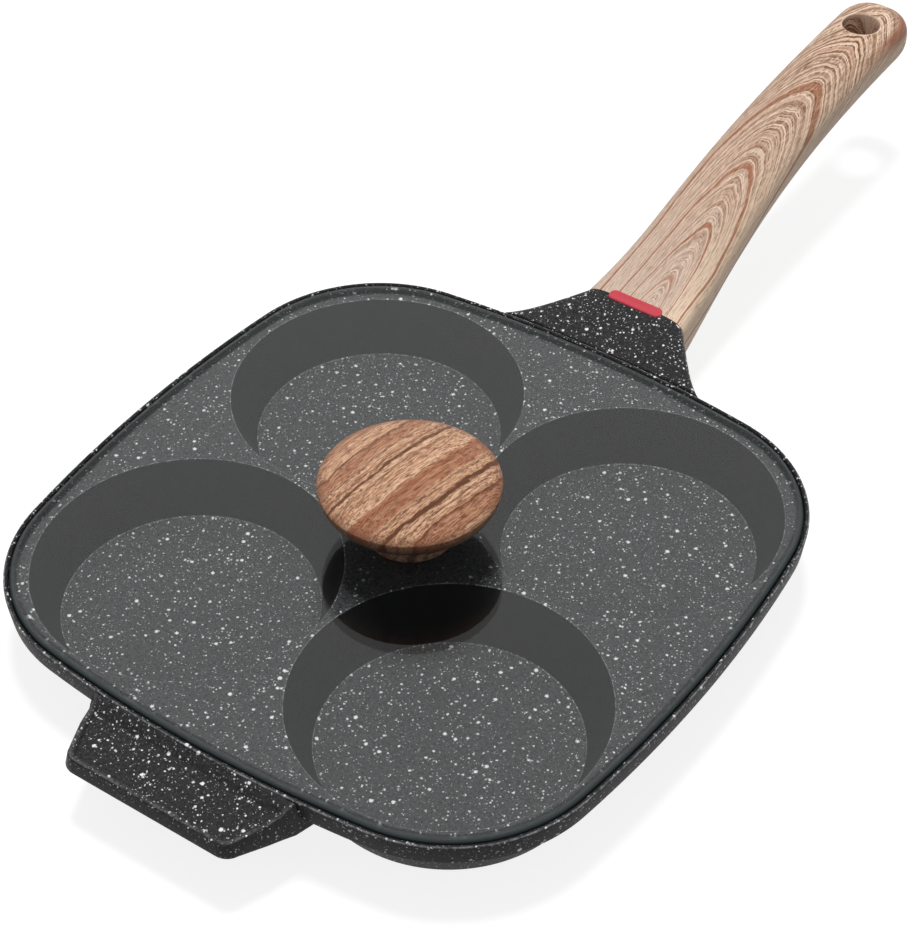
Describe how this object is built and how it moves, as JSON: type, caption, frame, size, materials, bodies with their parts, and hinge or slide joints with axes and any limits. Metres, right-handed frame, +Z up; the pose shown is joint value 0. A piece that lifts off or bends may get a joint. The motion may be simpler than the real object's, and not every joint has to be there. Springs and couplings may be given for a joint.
{
  "type": "divided egg frying pan with glass lid",
  "caption": "Square-round egg pan with round cups, speckled non-stick coating, flat glass lid with wood-look knob, long wood-look handle and a short cast helper handle.",
  "frame": {"origin": "under the middle of the overall length, at the level of the steel discs the pan stands on", "axes": "+X along the long handle away from the pan, +Y to the left seen from the helper handle, +Z up"},
  "size_m": [0.4019, 0.2, 0.0578],
  "materials": {
    "coated_casting": "cast aluminium with a dark grey non-stick coating full of small white specks",
    "disc_steel": "perforated magnetic steel disc pressed into the cup's bottom",
    "wood_look_handle": "moulded bakelite with a printed wood grain, satin",
    "wood_look_knob": "moulded bakelite with a printed striped wood grain, satin",
    "red_inlay": "plain red moulded bar, satin",
    "lid_glass": "flat toughened glass with ground edges, green in the edge",
    "screw_steel": "bright stainless steel",
    "insert_brass": "turned brass",
    "gasket_rubber": "black silicone"
  },
  "bodies": {
    "pan": {"pan_body": "coated_casting", "base_disc_1": "disc_steel", "base_disc_2": "disc_steel", "base_disc_3": "disc_steel", "base_disc_4": "disc_steel", "handle": "wood_look_handle", "handle_inlay": "red_inlay", "handle_screw": "screw_steel", "handle_washer": "screw_steel"},
    "lid": {"lid_glass": "lid_glass", "lid_knob": "wood_look_knob", "knob_insert": "insert_brass", "knob_gasket_upper": "gasket_rubber", "knob_gasket_lower": "gasket_rubber", "knob_washer": "screw_steel", "knob_screw": "screw_steel"}
  },
  "joints": [
    {"name": "lid_lift", "type": "slide", "parent": "pan", "child": "lid", "axis": [0, 0, 1], "range_m": [0, 0.12]}
  ]
}
